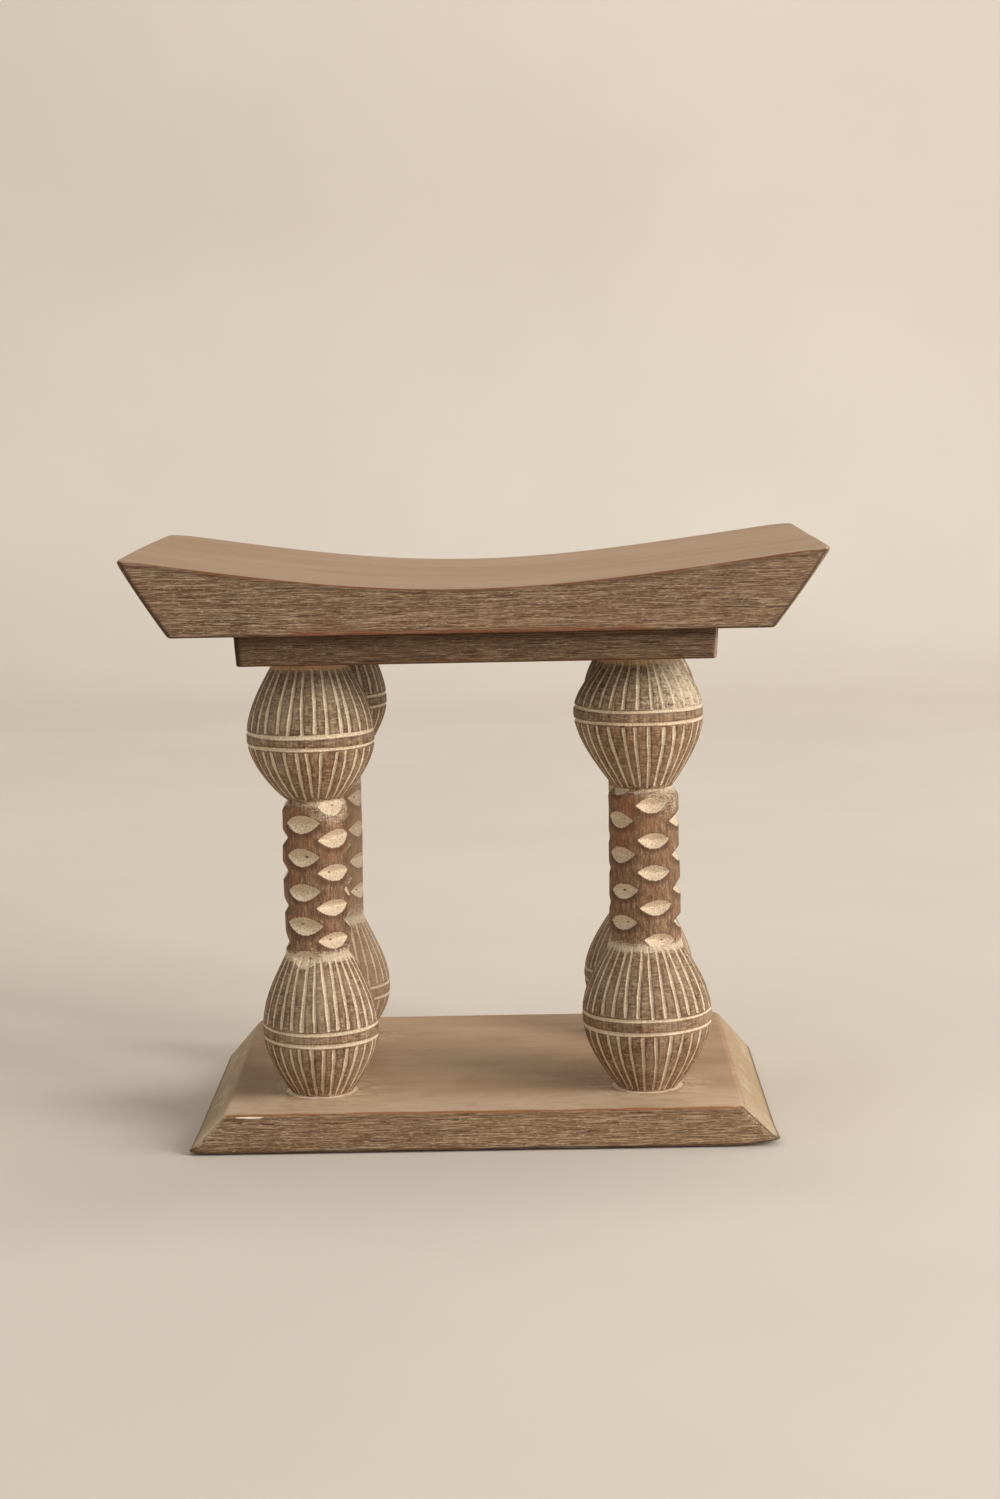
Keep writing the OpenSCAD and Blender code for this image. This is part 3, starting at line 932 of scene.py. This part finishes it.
def band_lines(z, theta, p, rng):
    """Depth of the two grooves round each belly, which wander a little, and the painted shade beside
    them.
    """
    lines = np.zeros_like(theta)
    edges = np.zeros_like(theta)
    for belly in (p["low"], p["high"]):
        for side in (-1, 1):
            a, b, c = rng.uniform(0, 2 * np.pi, 3)
            centre = belly + side * BAND_HALF + 0.25 * np.sin(theta + a) + 0.12 * np.sin(3 * theta + b)
            half = rng.uniform(0.7, 1.0) * (1 + 0.15 * np.sin(2 * theta + c))
            off = np.abs(z - centre) / half
            lines = np.maximum(lines, 0.65 * np.clip(1 - off, 0, 1) ** 0.7)
            edges = np.maximum(edges, hump(off - 1.35, 0.3))
    return lines, edges


def rib_sections(p, rng):
    """The ribs of both halves of both bellies, from foot to top."""
    spans = ((0.0, p["low"] - BAND_HALF - RIB_GAP),
             (p["shoulder"] + 0.5, p["low"] + BAND_HALF + RIB_GAP),
             (p["neck"] + 0.8, p["high"] - BAND_HALF - RIB_GAP),
             (PILLAR_HEIGHT, p["high"] + BAND_HALF + RIB_GAP))
    return [Ribs(narrow, wide, rng) for narrow, wide in spans]


def column_angles(p, sections, rows, radius, even):
    """Every column's angle at every row: along the grooves on the bellies, even on the shaft."""
    keys = [(z, ribs.columns(z, r)) for ribs in sections for z, r in zip(rows, radius)
            if 0 <= ribs.share(z) <= 1]
    keys += [(z, even) for z in rows[(rows > p["shoulder"] + 4) & (rows < p["neck"] - 4)]]
    keys.sort(key=lambda item: item[0])
    key_z = np.array([k[0] for k in keys])
    key_angle = np.array([k[1] for k in keys])
    return np.stack([np.interp(rows, key_z, key_angle[:, c]) for c in range(len(even))], axis=1)


def rib_grooves(sections, rows, like):
    """Depth of the grooves between ribs, and the painted shade along them."""
    groove = np.zeros_like(like)
    edge = np.zeros_like(like)
    for ribs in sections:
        for i, z in enumerate(rows):
            if 0 <= ribs.share(z) <= 1:
                groove[i] = ribs.spread(z, GROOVE_SHARE)
                edge[i] = ribs.spread(z, EDGE_SHARE)
    return groove, edge


def hand_uneven(z, theta, rng):
    """How far a hand-made pillar is from round."""
    swing = rng.uniform(0, 2 * np.pi, 3)
    uneven = 0.2 * np.sin(2 * theta + swing[0] + z / 17) + 0.1 * np.sin(5 * theta + swing[1] - z / 9)
    uneven += 0.06 * np.sin(11 * theta + z / 5 + swing[2])
    return uneven


def centre_line(z, p):
    """How far right of the pillar's axis its middle is at height z."""
    low, middle, high = p["sway"]
    heights = [0, p["low"], p["shoulder"], p["neck"] - 8, p["high"], PILLAR_HEIGHT]
    return np.interp(z, heights, [0.3 * low, low, middle, middle, high, 0.6 * high])


def wash_and_light_field(z, p, lit_side):
    """Pale dust and lime smeared over the wood round the neck, the shoulder and the foot, and painted
    light that makes it paler on the lit side.
    """
    neck = z - p["neck"]
    shoulder = z - p["shoulder"]
    return (hump(neck + 0.5, 2.2) * 0.5
            + 0.65 * hump(neck + 6, 6.5) * (0.3 + 0.7 * lit_side)
            + 0.95 * hump(shoulder + 0.5, 2.6)
            + 0.35 * hump(shoulder - 5, 4)
            + p["dusty"][0] * lit_side * (z > p["high"] + BAND_HALF)
            + p["dusty"][1] * lit_side * (z > p["low"] + BAND_HALF) * (z < p["neck"])
            + hump(z, 1.2))


def drilled_layers(outer, even):
    """The outer skin's rows with rings before and after them that close its drilled ends."""
    def circle(rad, height):
        return np.stack([rad * np.cos(even), rad * np.sin(even), np.full(len(even), height)], axis=1)

    top = PILLAR_HEIGHT
    foot_end = [circle(0.4, FOOT_BORE), circle(BORE_R, FOOT_BORE), circle(BORE_R, 0), circle(9.0, 0)]
    top_end = [circle(9.0, top), circle(BORE_R, top), circle(BORE_R, top - TOP_BORE),
               circle(0.4, top - TOP_BORE)]
    return [*foot_end, *outer, *top_end]


def tube_faces(layers, count):
    """Quads between layers of count points, and one face over each end."""
    faces = []
    for i in range(layers - 1):
        a, b = i * count, (i + 1) * count
        faces += [(a + c, a + (c + 1) % count, b + (c + 1) % count, b + c) for c in range(count)]
    faces.append(tuple(range(count))[::-1])
    last = (layers - 1) * count
    faces.append(tuple(range(last, last + count)))
    return faces


def add_pillar(place, material):
    p = PILLARS[place]
    rng = np.random.default_rng(p["seed"])
    sections = rib_sections(p, rng)
    rows = pillar_rows(p)
    radius = body_radius(rows, p)
    count = RIBS * (2 * len(GROOVE_COLUMNS) - 1 + PLAIN_COLUMNS)
    even = np.arange(count) * 2 * np.pi / count
    theta = column_angles(p, sections, rows, radius, even)
    z = np.repeat(rows[:, None], count, axis=1)
    body = np.repeat(radius[:, None], count, axis=1)

    groove, edge = rib_grooves(sections, rows, theta)
    lines, line_edges = band_lines(z, theta, p, rng)
    eyes, pit, shade = carve_eyes(z, theta, body, p, rng)
    carved = np.maximum(groove, lines)
    r = body + hand_uneven(z, theta, rng) - carved - eyes
    outer = np.stack([r * np.cos(theta) + centre_line(z, p), r * np.sin(theta), z], axis=2)

    lit_side = np.clip(np.cos(theta + 0.7), 0, 1) ** 2
    fields = {
        "lime": np.clip(np.maximum(carved / 0.36, eyes / 0.3), 0, 1),
        "pit": pit,
        # Painted shade beside the rib and band grooves
        "edge": np.maximum(edge, 0.7 * line_edges),
        "shade": shade,
        "shaft": (smooth_step(z, p["shoulder"] - 2, p["shoulder"] + 3)
                  * (1 - smooth_step(z, p["neck"] - 3, p["neck"]))),
        # Warmer lower halves, greyer upper halves: partly the wood's tone, partly painted light from
        # above
        "warm": np.select([z < p["low"], z < p["shoulder"], z < p["high"]], [0.85, 0.45, 0.8], 0.2),
        # Painted light below the neck
        "haze": np.full_like(z, p["haze"]) * (z < p["neck"]),
        # Painted light: the bright ring at the top, under the board
        "painted_light_crown": smooth_step(z, PILLAR_HEIGHT - 5.0, PILLAR_HEIGHT - 3.4),
        # Dust and lime, and painted light on the lit side
        "wash_and_light": wash_and_light_field(z, p, lit_side),
    }
    layers = drilled_layers(outer, even)
    pad = np.zeros((4, count))
    spread = {key: np.concatenate([pad, values, pad]).ravel() for key, values in fields.items()}
    foot_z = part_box("pillar_" + place)[0][2]
    points = np.array(layers).reshape(-1, 3) * MM + np.array([*pillar_axis(place), foot_z])
    faces = tube_faces(len(layers), count)
    return make_object("pillar_" + place + "_wood", points, faces, spread, material)


# ---------------------------------------------------------------- stage

FLOOR_HALF = 6.0


def add_floor():
    """Floor that curves up into a backdrop behind the object."""
    start, bend, top = 1.5, 0.5, 3.4
    profile = [(-FLOOR_HALF, 0.0), (start, 0.0)]
    profile += [(start + bend * math.sin(a), bend * (1 - math.cos(a)))
                for a in np.linspace(0.1, math.pi / 2, 12)]
    profile.append((start + bend, top))
    points = np.array([(x, y, z) for y, z in profile for x in (-FLOOR_HALF, FLOOR_HALF)])
    faces = [(2 * i, 2 * i + 1, 2 * i + 3, 2 * i + 2) for i in range(len(profile) - 1)]
    make_object("floor", points, faces, {}, floor_material())


def add_light(name, place, target, size, watts, tint):
    data = bpy.data.lights.new(name, "AREA")
    data.shape = "RECTANGLE"
    data.size, data.size_y = size
    data.energy = watts
    data.color = tint
    light = bpy.data.objects.new(name, data)
    light.location = place
    light.rotation_euler = (Vector(target) - Vector(place)).to_track_quat("-Z", "Y").to_euler()
    bpy.context.scene.collection.objects.link(light)


LAMP_TINT = (1.0, 0.97, 0.93)
SOFT_TINT = (1.0, 0.98, 0.94)


def add_lights():
    add_light("key", (2.48, -1.63, 1.5), (0, 0.05, 0.1), (1.4, 1.4), 74, LAMP_TINT)
    add_light("side", (1.95, -0.62, 0.5), (0, 0.05, 0.1), (0.7, 0.7), 16, LAMP_TINT)
    add_light("wall", (0.6, 0.9, 2.6), (0, 2.0, 0.9), (2.0, 0.6), 21, SOFT_TINT)
    add_light("fill", (-2.4, -1.95, 1.6), (0, 0, 0.1), (2.4, 2.4), 14, SOFT_TINT)
    world = bpy.data.worlds.new("studio")
    world.use_nodes = True
    sky = world.node_tree.nodes["Background"]
    sky.inputs["Color"].default_value = colour(255, 247, 236)
    sky.inputs["Strength"].default_value = 0.49
    bpy.context.scene.world = world
    bpy.context.scene.view_settings.view_transform = "Standard"


# ---------------------------------------------------------------- assembly

add_camera()
add_floor()
add_lights()

head_wood = board_material("head_board", (0.96, 0.95, 0.95), arris=(122, 72, 42))
under_wood = board_material("under_board", (0.76, 0.72, 0.67), arris=(122, 76, 48), shift=3.0)
base_wood = board_material("base_board", (1.05, 1.05, 1.05), arris=(140, 90, 58), shift=6.0,
                           feet=True)
carved = pillar_material("carved_pillar")

for node, piece, slot in (
        ("head_board", add_head_board(head_wood), "board_wood"),
        ("under_board", add_under_board(under_wood), "under_board_wood"),
        ("base_board", add_base_board(base_wood), "board_wood")):
    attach(piece, "root")
    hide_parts(node)

for place in PLACES:
    piece = add_pillar(place, carved)
    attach(piece, "root")
    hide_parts("pillar_" + place)

dowel_wood = dowel_material()
screw_steel = steel_material()
for place in PLACES:
    for kind, material in (("top_dowel_", dowel_wood), ("foot_dowel_", dowel_wood),
                           ("screw_", screw_steel)):
        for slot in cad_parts[kind + place].material_slots:
            slot.material = material
